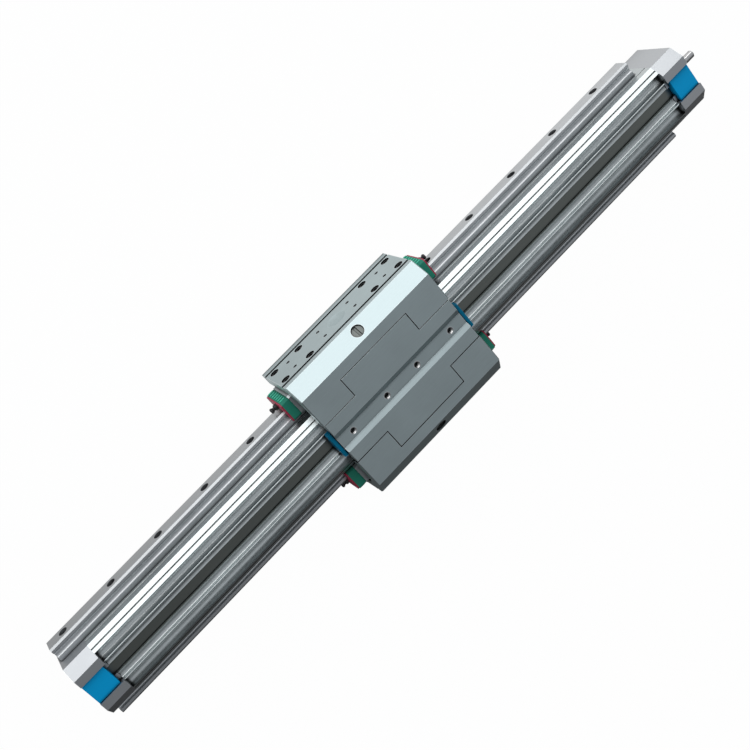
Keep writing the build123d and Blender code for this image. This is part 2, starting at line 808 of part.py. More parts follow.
# Ball screw: thread between the caps, a seat in each cap and a plain stub out of the drive end
drive_seat_end = beam_end + 2 * bearing_width
with BuildPart() as ball_screw:
    with BuildSketch(Plane.XZ):
        with BuildLine():
            Polyline(
                (-beam_end - bearing_width, rail_axis_z),
                (-beam_end - bearing_width, rail_axis_z + free_seat_diameter / 2),
                (-beam_end, rail_axis_z + free_seat_diameter / 2),
                (-beam_end, rail_axis_z + screw_diameter / 2),
                (beam_end, rail_axis_z + screw_diameter / 2),
                (beam_end, rail_axis_z + drive_seat_diameter / 2),
                (cap_end, rail_axis_z + drive_seat_diameter / 2),
                (cap_end, rail_axis_z + stub_diameter / 2),
                (cap_end + stub_projection, rail_axis_z + stub_diameter / 2),
                (cap_end + stub_projection, rail_axis_z),
                close=True,
            )
        make_face()
    revolve(axis=Axis(origin=screw_axis, direction=(1, 0, 0)))
    chamfer(ball_screw.edges().sort_by(Axis.X)[-1], stub_chamfer)
save(ball_screw.part, "ball_screw")


# Bearings
def ring(x, width, inner, outer):
    """Ring on the screw axis from x, with its bore and outside given as diameters."""
    with BuildPart() as piece:
        with BuildSketch(across_x(x)):
            with Locations((0, rail_axis_z)):
                Circle(outer / 2)
                Circle(inner / 2, mode=Mode.SUBTRACT)
        extrude(amount=width)
    return piece.part


bearings = (
    ("free", -beam_end - bearing_width, free_seat_diameter, free_bearing_diameter),
    ("drive_inner_row", beam_end, drive_seat_diameter, drive_bearing_diameter),
    ("drive_outer_row", beam_end + bearing_width, drive_seat_diameter, drive_bearing_diameter),
)
for name, x, seat_diameter, outside in bearings:
    race = seat_diameter + 2 * bearing_ring
    save(ring(x, bearing_width, seat_diameter, race), f"bearing_inner_{name}")
    save(ring(x, bearing_width, race + 2 * bearing_gap, outside), f"bearing_outer_{name}")

save(ring(drive_seat_end, lock_nut_width, drive_seat_diameter, lock_nut_diameter), "lock_nut")

with BuildPart() as bearing_retainer:
    add(ring(beam_end - retainer_thickness, retainer_thickness, bumper_bore, retainer_diameter))
save(bearing_retainer.part, "bearing_retainer")

# Bumpers that stop the nut bracket just past its travel, before the blocks leave the rails
drive_bumper_x = beam_end - retainer_thickness - bumper_drive_length
save(ring(-beam_end, bumper_free_length, bumper_bore, bumper_diameter), "bumper_free")
save(ring(drive_bumper_x, bumper_drive_length, bumper_bore, bumper_diameter), "bumper_drive")
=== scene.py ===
# %% [markdown]
# # A linear module with a rail on each flank
#
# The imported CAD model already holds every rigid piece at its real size, so this script dresses it.
# It adds the parts that a solid shows badly, such as the sprung steel cover strip, the threads, the
# caps' ribs and the small plugs, and it gives every piece a finish worked out from noise and edges.
# The frame is in metres: +X runs along the beam to the drive end, +Y to the left rail and +Z out
# of the face that carries the cover strip.

# %% Load the frame
import json
import math

import bmesh
import bpy
import numpy as np
from mathutils import Matrix, Vector


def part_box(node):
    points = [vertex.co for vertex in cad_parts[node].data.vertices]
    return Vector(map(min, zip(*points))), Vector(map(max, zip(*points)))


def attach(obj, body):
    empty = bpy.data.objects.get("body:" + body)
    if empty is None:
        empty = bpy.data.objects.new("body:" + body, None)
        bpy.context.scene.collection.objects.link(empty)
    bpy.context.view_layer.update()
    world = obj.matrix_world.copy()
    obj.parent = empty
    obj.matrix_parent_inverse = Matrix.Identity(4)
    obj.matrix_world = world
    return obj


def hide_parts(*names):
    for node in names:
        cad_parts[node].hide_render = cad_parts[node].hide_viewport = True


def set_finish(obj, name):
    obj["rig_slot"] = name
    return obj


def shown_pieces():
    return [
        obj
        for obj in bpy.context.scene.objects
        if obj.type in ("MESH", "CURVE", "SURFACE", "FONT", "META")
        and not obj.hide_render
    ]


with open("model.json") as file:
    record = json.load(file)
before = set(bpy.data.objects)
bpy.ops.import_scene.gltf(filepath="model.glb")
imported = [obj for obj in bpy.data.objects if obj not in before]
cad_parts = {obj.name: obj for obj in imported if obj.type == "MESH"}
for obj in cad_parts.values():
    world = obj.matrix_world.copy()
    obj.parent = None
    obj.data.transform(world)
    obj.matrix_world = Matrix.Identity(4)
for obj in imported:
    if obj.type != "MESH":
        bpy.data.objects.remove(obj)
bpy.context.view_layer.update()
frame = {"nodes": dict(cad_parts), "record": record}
MM = 0.001

# %% [markdown]
# ## Where things are
#
# Sizes could be typed in again, but then a change in the CAD would leave the dressing behind.
# Reading the boxes of the CAD nodes keeps both in step.

# %% Places read from the frame
beam_low, beam_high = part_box("beam_extrusion")
strip_low, strip_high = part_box("cover_strip")
plate_low, plate_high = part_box("centre_plate")
bracket_low, bracket_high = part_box("side_bracket_left")
screw_low, screw_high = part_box("ball_screw")

carriage_x = (plate_low.x + plate_high.x) / 2
carriage_half = (plate_high.x - plate_low.x) / 2
strip_half_width = (strip_high.y - strip_low.y) / 2
strip_thickness = 0.4 * MM
strip_seat = strip_low.z
screw_z = (screw_low.z + screw_high.z) / 2
print("carriage at x =", round(carriage_x, 4), "strip seat at z =", round(strip_seat, 4))

# %% [markdown]
# ## Meshes from grids
#
# A mesh can be modelled by hand, with primitives and modifiers, or computed. Here each new piece
# is a function of two parameters sampled on a grid, because the shapes are turnings, bars and bands
# whose formulas are short. One helper turns any grid of points into a mesh.


# %% Grid to mesh
def grid_piece(name, points, close_u=False, close_v=False, smooth=True):
    """Mesh over points[..., u, v]: each cell of each grid becomes one four-sided face.

    close_u joins the last row to the first one, and close_v the last column to the first one.
    A leading axis holds several grids of one size, which then make one piece.
    """
    index = np.arange(points.size // 3).reshape(points.shape[:-1])
    if close_u:
        index = np.concatenate([index, index[..., :1, :]], axis=-2)
    if close_v:
        index = np.concatenate([index, index[..., :1]], axis=-1)
    corners = [index[..., :-1, :-1], index[..., 1:, :-1], index[..., 1:, 1:], index[..., :-1, 1:]]
    quads = np.stack(corners, axis=-1).reshape(-1, 4)
    mesh = bpy.data.meshes.new(name)
    mesh.vertices.add(points.size // 3)
    mesh.vertices.foreach_set("co", points.reshape(-1).astype(np.float32))
    mesh.loops.add(quads.size)
    mesh.loops.foreach_set("vertex_index", quads.reshape(-1).astype(np.int32))
    mesh.polygons.add(len(quads))
    mesh.polygons.foreach_set("loop_start", (np.arange(len(quads)) * 4).astype(np.int32))
    mesh.polygons.foreach_set("use_smooth", np.full(len(quads), smooth))
    mesh.update(calc_edges=True)
    mesh.validate()
    piece = bpy.data.objects.new(name, mesh)
    bpy.context.scene.collection.objects.link(piece)
    print(name, len(quads), "faces")
    return piece


def close_ends(piece, rows, columns):
    """Cap the first and last ring of a tube-like grid with one face each."""
    mesh = piece.data
    verts = np.empty(len(mesh.vertices) * 3, np.float32)
    mesh.vertices.foreach_get("co", verts)
    faces = [list(p.vertices) for p in mesh.polygons]
    faces.append(list(range(columns))[::-1])
    faces.append(list(range((rows - 1) * columns, rows * columns)))
    smooth = [p.use_smooth for p in mesh.polygons] + [False, False]
    mesh.clear_geometry()
    mesh.from_pydata(verts.reshape(-1, 3).tolist(), [], faces)
    mesh.polygons.foreach_set("use_smooth", smooth)
    mesh.update()


# %% [markdown]
# ## The cover strip
#
# The strip is a thin band of spring steel that lies on the slot's lips and ends under a clamp in
# each end block. Inside the carriage it is lifted over the saddle. The CAD node is rigid, so its
# hump would stay behind when the carriage slides. A strip that bends as it slides would need an
# animated mesh, which the poses can't hold. So two bands stand for it: one lies along the beam and
# stays, and one is the hump and rides on the carriage.


# %% Bands along a path
def band(name, path_x, path_z, half_width, thickness, steps=13):
    """Thin band: a flat rectangle carried along a path in the X-Z plane.

    At each path point the top runs from y = -half_width to half_width at z = path_z + thickness,
    and the underside runs back at z = path_z.
    """
    across = np.linspace(-half_width, half_width, steps)
    section_y = np.concatenate([across, across[::-1]])
    section_z = np.repeat([thickness, 0.0], steps)
    x = np.repeat(path_x[:, None], len(section_y), axis=1)
    y = np.repeat(section_y[None, :], len(path_x), axis=0)
    z = path_z[:, None] + section_z[None, :]
    piece = grid_piece(name, np.stack([x, y, z], axis=-1), close_v=True, smooth=False)
    close_ends(piece, len(path_x), len(section_y))
    return piece


band_rows = 80
lying_x = np.linspace(strip_low.x, strip_high.x, band_rows)
lying_z = np.full(band_rows, strip_seat)
cover_band = band("cover_band", lying_x, lying_z, strip_half_width, strip_thickness)

strip_lead_in = 1.5 * MM
strip_ramp = 35 * MM
rise_start = carriage_half - strip_lead_in
rise_end = rise_start - strip_ramp
hump_low = strip_seat + strip_thickness
hump_top = strip_high.z - strip_thickness
hump_x = np.linspace(-rise_start, rise_start, band_rows + 1)
hump_share = np.clip((rise_start - np.abs(hump_x)) / (rise_start - rise_end), 0, 1)
hump_ease = hump_share**2 * (3 - 2 * hump_share)
hump_z = hump_low + (hump_top - hump_low) * hump_ease
cover_hump = band("cover_hump", carriage_x + hump_x, hump_z, strip_half_width, strip_thickness)
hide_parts("cover_strip")
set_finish(cover_band, "strip_steel")
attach(cover_band, "module")
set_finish(cover_hump, "strip_steel")
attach(cover_hump, "carriage")

# %% [markdown]
# ## The screw's thread
#
# A ball screw's thread is a round-bottomed groove wound along the shaft. A boolean would be slow
# and would leave thin faces. A lathe surface whose radius depends on both the distance along the
# shaft and the angle gives the same groove in one grid.


# %% Ball screw with its groove
def threaded_shaft(name, stations, radii, groove_ends, lead, depth, steps=24):
    """Shaft on the screw axis: radius = stations' radius - depth * groove(phase).

    The phase is distance / lead - angle / turn, so the groove advances one lead in each turn, and
    groove(p) = cos(pi p)^6 makes it round and a third of the lead wide.
    """
    turns = np.linspace(0, 2 * np.pi, steps, endpoint=False)
    x = stations[:, None] + 0 * turns
    phase = x / lead - turns / (2 * np.pi)
    inside = (x > groove_ends[0]) & (x < groove_ends[1])
    groove = np.cos(np.pi * phase) ** 6 * inside
    radius = radii[:, None] - depth * groove
    y = radius * np.cos(turns)
    z = screw_z + radius * np.sin(turns)
    piece = grid_piece(name, np.stack([x, y, z], axis=-1), close_v=True)
    close_ends(piece, len(stations), len(turns))
    return piece


screw_radius = 8 * MM
free_seat_radius = 5 * MM
drive_seat_radius = 6 * MM
stub_radius = 4 * MM
stub_chamfer = 0.8 * MM
lead = 10 * MM
groove_depth = 1.2 * MM
plain_end = 10 * MM
rows_per_lead = 12
row_after_step = 0.5 * MM
seat_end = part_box("end_cap_drive")[1].x
thread_x = np.arange(beam_low.x + row_after_step, beam_high.x, lead / rows_per_lead)
stations = np.concatenate(
    [
        [screw_low.x, beam_low.x, beam_low.x],
        thread_x,
        [beam_high.x, beam_high.x, seat_end, seat_end, screw_high.x - stub_chamfer, screw_high.x],
    ]
)
radii = np.concatenate(
    [
        [free_seat_radius, free_seat_radius, screw_radius],
        np.full(len(thread_x), screw_radius),
        [screw_radius, drive_seat_radius, drive_seat_radius],
        [stub_radius, stub_radius, stub_radius - stub_chamfer],
    ]
)
grooved = (beam_low.x + plain_end, beam_high.x - plain_end)
threaded_screw = threaded_shaft("threaded_screw", stations, radii, grooved, lead, groove_depth)
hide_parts("ball_screw")
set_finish(threaded_screw, "machined_steel")
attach(threaded_screw, "screw")


# %% [markdown]
# ## Plugs in the carriage's shoulders
#
# Each sloping shoulder has a bore closed by a plug with a slot across its face, which a screwdriver
# turns. A lathe profile would be the natural way to draw one, but it can't hold a slot. Here the
# rings of the profile are spun about the bore's axis, and then the face is lowered in the slot.


# %% Slotted plugs
def slotted_plug(name, centre, axis, radius, height, chamfer, slot_half, slot_depth):
    """Rings round the axis: a flat face, a chamfer, a wall and a flat back.

    Point = centre + axis * h + r * (X cos a + up sin a), and on the face
    h = -slot_depth * (1 - smooth step of |r cos a| from 0.8 to 1.2 slot_half).
    """
    axis = Vector(axis).normalized()
    side = Vector((1, 0, 0))
    up = axis.cross(side)
    face_rings, steps = 40, 96
    angle = np.linspace(0, 2 * np.pi, steps, endpoint=False)
    ring = np.cos(angle)[:, None] * np.array(side) + np.sin(angle)[:, None] * np.array(up)
    face = np.linspace(0, radius - chamfer, face_rings)
    r = np.concatenate([face, [radius, radius, 0.0]])[:, None]
    h = np.concatenate([0 * face, [-chamfer, -height, -height]])[:, None]
    off_line = np.abs(r * np.cos(angle)) / slot_half
    share = np.clip((off_line - 0.8) / 0.4, 0, 1)
    cut = slot_depth * (1 - share**2 * (3 - 2 * share))
    cut[face_rings:] = 0
    points = np.array(centre) + (h - cut)[..., None] * np.array(axis) + r[..., None] * ring
    return grid_piece(name, points, close_v=True)


shoulder = 14.75 * MM
plug_depth = 1.6 * MM
mouth_y = bracket_high.y - shoulder / 2
mouth_z = bracket_high.z - shoulder / 2
plug_size = dict(
    radius=6.4 * MM,
    height=4.5 * MM,
    chamfer=0.6 * MM,
    slot_half=1.3 * MM,
    slot_depth=1.2 * MM,
)
for side, side_name in ((1, "left"), (-1, "right")):
    outward = Vector((0, side, 1)).normalized()
    mouth = Vector((carriage_x, side * mouth_y, mouth_z))
    plug_name = f"shoulder_plug_{side_name}"
    plug = slotted_plug(plug_name, mouth - outward * plug_depth, outward, **plug_size)
    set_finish(plug, "rail_steel")
    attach(plug, "carriage")

# %% [markdown]
# ## Threads in the mounting holes
#
# The record lists the tapped mounting holes as bolt patterns with place, axis, spacing and radius.
# A plain bore looks like a drilled one, so each hole gets a lining whose inner wall carries the
# thread. Cutting the thread into the piece would change the CAD mesh, and a lining needs no cut.


# %% Hole places from the record
def hole_spots(mount):
    """Mouth centres of a bolt pattern: its place plus or minus half of each spacing."""
    axis = Vector(mount["axis"])
    across = Vector((1, 0, 0)) if abs(axis.x) < 0.5 else Vector((0, 1, 0))
    along = Vector((0, 0, 1)) if abs(axis.z) < 0.5 else Vector((0, 1, 0))
    half_x = mount["dims"]["spacing_x_mm"] * MM / 2
    half_y = mount["dims"].get("spacing_y_mm", 0) * MM / 2
    rows = (-half_y, half_y) if half_y else (0.0,)
    place = Vector(mount["pos_m"])
    return [place + across * x + along * y for x in (-half_x, half_x) for y in rows]


def thread_lining(spots, axis, bore, depth, pitch):
    """Grids of threaded rings, one for each mouth.

    Inner radius = bore - tooth * (0.5 + 0.5 cos(2 pi (depth / pitch - angle / turn))), and the
    outer radius is the bore itself. The tooth is 0.45 pitch high.
    """
    tooth = 0.45 * pitch
    mouth_gap = 0.2 * MM
    rows_per_pitch, steps = 8, 24
    axis = Vector(axis)
    side = axis.orthogonal().normalized()
    up = axis.cross(side)
    turns = np.linspace(0, 2 * np.pi, steps, endpoint=False)
    down = np.linspace(mouth_gap, depth, int(rows_per_pitch * depth / pitch))
    phase = down[:, None] / pitch - turns / (2 * np.pi)
    inner = bore - tooth * (0.5 + 0.5 * np.cos(2 * np.pi * phase))
    outer = np.full((2, len(turns)), bore)
    radius = np.concatenate([inner, outer])[..., None]
    height = -np.concatenate([down, down[[-1, 0]]])[:, None, None]
    ring = np.cos(turns)[:, None] * np.array(side) + np.sin(turns)[:, None] * np.array(up)
    shell = radius * ring + height * np.array(axis)
    return np.array(spots)[:, None, None, :] + shell[None]


# %% Linings: body, depth and pitch for each family of holes
tapped = {
    "table_holes": ("carriage", 5.5 * MM, 1.25 * MM),
    "side_holes": ("carriage", 7.0 * MM, 0.8 * MM),
    "free_end_side_holes": ("module", 8.0 * MM, 0.8 * MM),
    "free_end_base_holes": ("module", 8.0 * MM, 0.8 * MM),
}
for mount in frame["record"]["mounts"]:
    family = [word for word in tapped if mount["name"].startswith(word)]
    if mount["kind"] == "bolt_pattern" and family:
        body, depth, pitch = tapped[family[0]]
        bore = mount["dims"]["hole_r_mm"] * MM
        rings = thread_lining(hole_spots(mount), mount["axis"], bore, depth, pitch)
        lining = grid_piece("threads_" + mount["name"], rings, close_u=True, close_v=True)
        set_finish(lining, "machined_steel")
        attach(lining, body)

# %% [markdown]
# ## Ribs on the guide blocks' end caps
#
# The moulded caps have fine ribs on the face that points away from the beam. On the real cap they
# are part of the moulding. Here each is an elliptical bar half sunk in the face, which needs no cut
# in the cap's mesh.


# %% Ribs
def rib_bars(start, end, face_y, heights, half_width, rise, rows=13, steps=14):
    """Grids of bars along X: y = face + rise t cos a, z = height + half_width t sin a.

    The taper t = sqrt(1 - s^6) draws both ends in to a point, with s from -1 to 1 along the bar.
    """
    share = np.sin(np.linspace(-np.pi / 2, np.pi / 2, rows))
    x = (start + end) / 2 + (end - start) / 2 * share
    taper = np.sqrt(1 - share**6)
    angle = np.linspace(0, 2 * np.pi, steps, endpoint=False)
    y = face_y + rise * np.cos(angle) * taper[:, None]
    z = half_width * np.sin(angle) * taper[:, None]
    bar = np.stack([np.repeat(x[:, None], len(angle), axis=1), y, z], axis=-1)
    lift = np.zeros((len(heights), 1, 1, 3))
    lift[:, 0, 0, 2] = heights
    return bar[None] + lift


cap_thickness = 9.0 * MM
rib_margin = 0.8 * MM
rib_pitch = 5.4 * MM
rib_half_width = 1.3 * MM
rib_rise = 1.1 * MM
rib_offsets = rib_pitch * np.arange(-3, 4)
for side, side_name in ((1, "left"), (-1, "right")):
    for way, way_name in ((-1, "free"), (1, "drive")):
        low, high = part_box(f"block_caps_{side_name}_{way_name}")
        start = low.x if way < 0 else high.x - cap_thickness
        face_y = high.y if side > 0 else low.y
        heights = (low.z + high.z) / 2 + rib_offsets
        ends = (start + rib_margin, start + cap_thickness - rib_margin)
        bars = rib_bars(*ends, face_y, heights, rib_half_width, side * rib_rise)
        ribs = grid_piece(f"cap_ribs_{side_name}_{way_name}", bars, close_v=True)
        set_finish(ribs, "green_plastic")
        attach(ribs, "carriage")

# %% [markdown]
# ## Closed and facing outwards
#
# Where a grid narrows to a pole its points lie on one spot, so merging them closes the skin. Then
# all faces are turned outwards, and edges steeper than 35 degrees are drawn sharp, as turned and
# sheared edges are.


# %% Seal the new pieces
def seal(piece, merge=0.001 * MM, sharp_degrees=35):
    """Merge points closer than merge, turn the faces outwards and mark the steep edges sharp."""
    work = bmesh.new()
    work.from_mesh(piece.data)
    bmesh.ops.remove_doubles(work, verts=work.verts, dist=merge)
    bmesh.ops.recalc_face_normals(work, faces=work.faces)
    open_edges = sum(not edge.is_manifold for edge in work.edges)
    work.to_mesh(piece.data)
    work.free()
    piece.data.set_sharp_from_angle(angle=math.radians(sharp_degrees))
    return open_edges


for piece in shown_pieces():
    if "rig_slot" in piece:
        print(piece.name, "open edges:", seal(piece))

# %% [markdown]
# ## Shared surface effects
#
# Real finishes share a few effects, and two of them are painted light. Edges get a painted highlight,
# where a worn or rounded corner would catch light, and seams and bores get painted shade, where little
# light reaches. Drawn and rolled metal carries fine lines along its length, over a slow cloud.
# Painting each into every material would repeat the same nodes. So one group finds edges, one finds
# seams and bores, and one gives lines and cloud, and every material places them with its own values.


# %% Node helpers
def new_group(name, inputs, outputs):
    """Empty shader group with float inputs given as {name: default} and named float outputs."""
    group = bpy.data.node_groups.new(name, "ShaderNodeTree")
    for label, value in inputs.items():
        socket = group.interface.new_socket(label, in_out="INPUT", socket_type="NodeSocketFloat")
        socket.default_value = value
    for label in outputs:
        group.interface.new_socket(label, in_out="OUTPUT", socket_type="NodeSocketFloat")
    return group, group.nodes.new("NodeGroupInput"), group.nodes.new("NodeGroupOutput")


def math_node(tree, operation, first, second, clamp=False):
    """Math node on two inputs, each a number or a socket, returned as its output socket."""
    node = tree.nodes.new("ShaderNodeMath")
    node.operation = operation
    node.use_clamp = clamp
    for socket, value in zip(node.inputs, (first, second)):
        if isinstance(value, (int, float)):
            socket.default_value = value
        else:
            tree.links.new(value, socket)
    return node.outputs[0]


def mix_node(tree, factor, first, second):
    """Colour mix: first where factor is 0 and second where it is 1, each a colour or a socket."""
    node = tree.nodes.new("ShaderNodeMix")
    node.data_type = "RGBA"
    tree.links.new(factor, node.inputs["Factor"])
    for label, value in (("A", first), ("B", second)):
        if isinstance(value, tuple):
            node.inputs[label].default_value = value
        else:
            tree.links.new(value, node.inputs[label])
    return node.outputs["Result"]


def placed(tree, group, **values):
    """Outputs of a shared group placed in a tree, with its inputs set by name."""
    node = tree.nodes.new("ShaderNodeGroup")
    node.node_tree = group
    for label, value in values.items():
        node.inputs[label].default_value = value
    return node.outputs


# %% Painted highlight mask for edges
def make_edge_group():
    """Painted highlight mask = gain * (1 - dot(rounded normal, true normal)): high only close to an
    edge.
    """
    group, inner, outer = new_group("edge_highlight", {"Width": 0.0005, "Gain": 3.0}, ["Mask"])
    rounded = group.nodes.new("ShaderNodeBevel")
    rounded.samples = 4
    group.links.new(inner.outputs["Width"], rounded.inputs["Radius"])
    geometry = group.nodes.new("ShaderNodeNewGeometry")
    dot = group.nodes.new("ShaderNodeVectorMath")
    dot.operation = "DOT_PRODUCT"
    group.links.new(rounded.outputs["Normal"], dot.inputs[0])
    group.links.new(geometry.outputs["Normal"], dot.inputs[1])
    difference = math_node(group, "SUBTRACT", 1.0, dot.outputs["Value"], clamp=True)
    mask = math_node(group, "MULTIPLY", difference, inner.outputs["Gain"], clamp=True)
    group.links.new(mask, outer.inputs["Mask"])
    return group


edge_highlight = make_edge_group()
print("group", edge_highlight.name)


# %% Painted shade mask for seams and hollows
def make_crevice_shade_group():
    """Painted shade mask = gain * (closed share of the sky within Reach - Start): high in seams and
    bores.
    """
    inputs = {"Reach": 0.003, "Start": 0.1, "Gain": 1.0}
    group, inner, outer = new_group("crevice_shade", inputs, ["Mask"])
    open_sky = group.nodes.new("ShaderNodeAmbientOcclusion")
    open_sky.samples = 6
    group.links.new(inner.outputs["Reach"], open_sky.inputs["Distance"])
    closed = math_node(group, "SUBTRACT", 1.0, open_sky.outputs["AO"], clamp=True)
    deep = math_node(group, "SUBTRACT", closed, inner.outputs["Start"], clamp=True)
    mask = math_node(group, "MULTIPLY", deep, inner.outputs["Gain"], clamp=True)
    group.links.new(mask, outer.inputs["Mask"])
    return group


crevice_shade = make_crevice_shade_group()
print("group", crevice_shade.name)


# %% Drawn lines
def make_lines_group():
    """Noise stretched along X: fine lines across the drawing direction, read in Object space."""
    group, inner, outer = new_group("drawn_lines", {"Across": 900.0, "Along": 4.0}, ["Lines", "Cloud"])
    place = group.nodes.new("ShaderNodeTexCoord")
    scale = group.nodes.new("ShaderNodeCombineXYZ")
    group.links.new(inner.outputs["Along"], scale.inputs["X"])
    group.links.new(inner.outputs["Across"], scale.inputs["Y"])
    group.links.new(inner.outputs["Across"], scale.inputs["Z"])
    stretched = group.nodes.new("ShaderNodeVectorMath")
    stretched.operation = "MULTIPLY"
    group.links.new(place.outputs["Object"], stretched.inputs[0])
    group.links.new(scale.outputs["Vector"], stretched.inputs[1])
    lines = group.nodes.new("ShaderNodeTexNoise")
    lines.inputs["Scale"].default_value = 1.0
    lines.inputs["Detail"].default_value = 3.0
    group.links.new(stretched.outputs["Vector"], lines.inputs["Vector"])
    cloud = group.nodes.new("ShaderNodeTexNoise")
    cloud.inputs["Scale"].default_value = 22.0
    cloud.inputs["Detail"].default_value = 4.0
    group.links.new(place.outputs["Object"], cloud.inputs["Vector"])
    group.links.new(lines.outputs["Fac"], outer.inputs["Lines"])
    group.links.new(cloud.outputs["Fac"], outer.inputs["Cloud"])
    return group


drawn_lines = make_lines_group()
print("group", drawn_lines.name)


# %% [markdown]
# ## Finishes
#
# Anodised, ground and moulded surfaces could be photographs wrapped round the part. Noise and masks
# need no pictures and hold up at any distance. One maker builds them all: a colour that shifts with
# lines and cloud, lightens on the edges as a painted highlight and darkens in seams and hollows as
# painted shade, a roughness that follows the same shift, and a bump driven by the lines.


# %% One maker for all finishes
def shade(colour, factor):
    """A colour with each channel multiplied by the factor, as four numbers."""
    return (colour[0] * factor, colour[1] * factor, colour[2] * factor, 1.0)


def finish(
    name,
    colour,
    metallic,
    rough,
    edge_light=1.25,
    edge_width=0.4 * MM,
    spread=0.08,
    rough_spread=0.1,
    across=900.0,
    along=4.0,
    bump=0.02,
    bump_distance=0.05 * MM,
    seam=3 * MM,
    seam_start=0.03,
    seam_gain=6.0,
    hollow=7 * MM,
    hollow_start=0.3,
    hollow_gain=1.6,
    deep=0.9,
    specular=0.5,
):
    """Material: colour mixed by cloud and lines, edges lighter as a painted highlight, rough +-
    rough_spread.

    Faces within the seam distance, or deep in a hollow, get painted shade: they lose the share of
    colour called deep.
    """
    material = bpy.data.materials.new(name)
    material.use_nodes = True
    tree = material.node_tree
    surface = tree.nodes["Principled BSDF"]
    surface.inputs["Metallic"].default_value = metallic
    surface.inputs["Specular IOR Level"].default_value = specular

    lines = placed(tree, drawn_lines, Across=across, Along=along)
    edges = placed(tree, edge_highlight, Width=edge_width)
    # Both masks find where little light reaches, for painted shade.
    seams = placed(tree, crevice_shade, Reach=seam, Start=seam_start, Gain=seam_gain)
    hollows = placed(tree, crevice_shade, Reach=hollow, Start=hollow_start, Gain=hollow_gain)
    painted_shade_mask = math_node(tree, "MAXIMUM", seams["Mask"], hollows["Mask"])

    mixed = math_node(tree, "ADD", lines["Lines"], lines["Cloud"])
    halved = math_node(tree, "MULTIPLY", mixed, 0.5)
    body = mix_node(tree, halved, shade(colour, 1 - spread), shade(colour, 1 + spread))
    # Painted highlight: edges get the colour raised by edge_light.
    edged = mix_node(tree, edges["Mask"], body, shade(colour, edge_light))
    # Painted shade: seams and hollows lose the share deep of their colour.
    sunk = mix_node(tree, painted_shade_mask, edged, shade(colour, 1 - deep))
    tree.links.new(sunk, surface.inputs["Base Color"])

    swing = math_node(tree, "SUBTRACT", halved, 0.5)
    scaled = math_node(tree, "MULTIPLY", swing, 2 * rough_spread)
    roughness = math_node(tree, "ADD", scaled, rough, clamp=True)
    tree.links.new(roughness, surface.inputs["Roughness"])

    relief = tree.nodes.new("ShaderNodeBump")
    relief.inputs["Strength"].default_value = bump
    relief.inputs["Distance"].default_value = bump_distance
    tree.links.new(lines["Lines"], relief.inputs["Height"])
    tree.links.new(relief.outputs["Normal"], surface.inputs["Normal"])
    return material


# %% [markdown]
# The beam, end blocks, carriage, rails and screws are metal. The strip clamps, the guide blocks' end
# caps and the wipers are moulded. Only the numbers differ. Ribs, wipers, plugs and the side holes'
# threads get a finish of their own. The ribs are a lighter copy of the caps' green, a painted
# highlight. The wipers are a darker copy of the clamps' blue with a painted highlight on their edges,
# and the plugs and the side holes' threads are dark, both painted shade.

# %% The finishes of this module
# Seam and hollow values set each finish's painted shade, and edge_light sets its painted highlight on
# edges. The carriage, the end caps and the mouldings reach 12 to 14 mm, so they darken where other
# parts stand close.
BEAM = dict(across=420.0, along=0.4, bump=0.0, spread=0.36, hollow_gain=0.8, edge_light=1.15)
CARRIAGE = dict(
    across=2200.0,
    along=60.0,
    spread=0.2,
    edge_light=2.2,
    edge_width=0.9 * MM,
    hollow=14 * MM,
    hollow_start=0.18,
    hollow_gain=2.5,
)
CAP = dict(
    across=2000.0,
    along=900.0,
    edge_light=1.5,
    seam_gain=3.0,
    hollow=14 * MM,
    hollow_gain=2.5,
)
PLASTIC = dict(spread=0.06, specular=0.1, seam_gain=1.5, hollow=12 * MM)
METAL = dict(seam_gain=1.0)
STRIP = dict(across=700.0, along=3.0, seam_gain=1.0)
RAIL = dict(across=600.0, along=1.0, spread=0.3, bump=0.0, seam_gain=1.0, hollow_gain=0.8)
BORE = dict(seam_gain=0.0, hollow_gain=0.3)
finishes = {
    "beam_aluminium": finish("drawn_beam", (0.60, 0.645, 0.65), 1.0, 0.33, **BEAM),
    "cap_aluminium": finish("milled_cap", (0.57, 0.59, 0.61), 1.0, 0.42, **CAP),
    "carriage_aluminium": finish("satin_carriage", (0.56, 0.655, 0.67), 1.0, 0.45, **CARRIAGE),
    "strip_steel": finish("rolled_strip", (0.21, 0.225, 0.21), 1.0, 0.3, **STRIP),
    "rail_steel": finish("ground_rail", (0.60, 0.62, 0.635), 1.0, 0.38, **RAIL),
    "machined_steel": finish("turned_steel", (0.66, 0.66, 0.66), 1.0, 0.25, **BORE),
    "zinc_screw": finish("yellow_zinc", (0.72, 0.60, 0.34), 1.0, 0.34, **METAL),
    "black_screw": finish("black_oxide", (0.06, 0.06, 0.065), 1.0, 0.35, **METAL),
    "blue_plastic": finish("blue_moulding", (0.0, 0.27, 0.55), 0.0, 0.45, **PLASTIC),
    "green_plastic": finish("green_moulding", (0.02, 0.20, 0.135), 0.0, 0.4, **PLASTIC),
    "red_seal": finish("red_seal_lip", (0.36, 0.01, 0.05), 0.0, 0.45, **METAL),
    "black_plastic": finish("black_moulding", (0.02, 0.02, 0.022), 0.0, 0.4, **METAL),
    "bumper_rubber": finish("black_rubber", (0.02, 0.02, 0.02), 0.0, 0.7, **METAL),
}
# Painted highlight: the ribs are the caps' green at about twice its brightness.
rib_highlight_green = finish("green_ribs_painted_light", (0.06, 0.42, 0.28), 0.0, 0.4, **PLASTIC)
# Painted shade: the wipers are the clamps' blue at about 0.4 of its brightness, and edge_light 2.5
# paints a highlight on their edges.
wiper_blue = finish("shaded_wiper_blue", (0.0, 0.11, 0.20), 0.0, 0.3, edge_light=2.5, **PLASTIC)
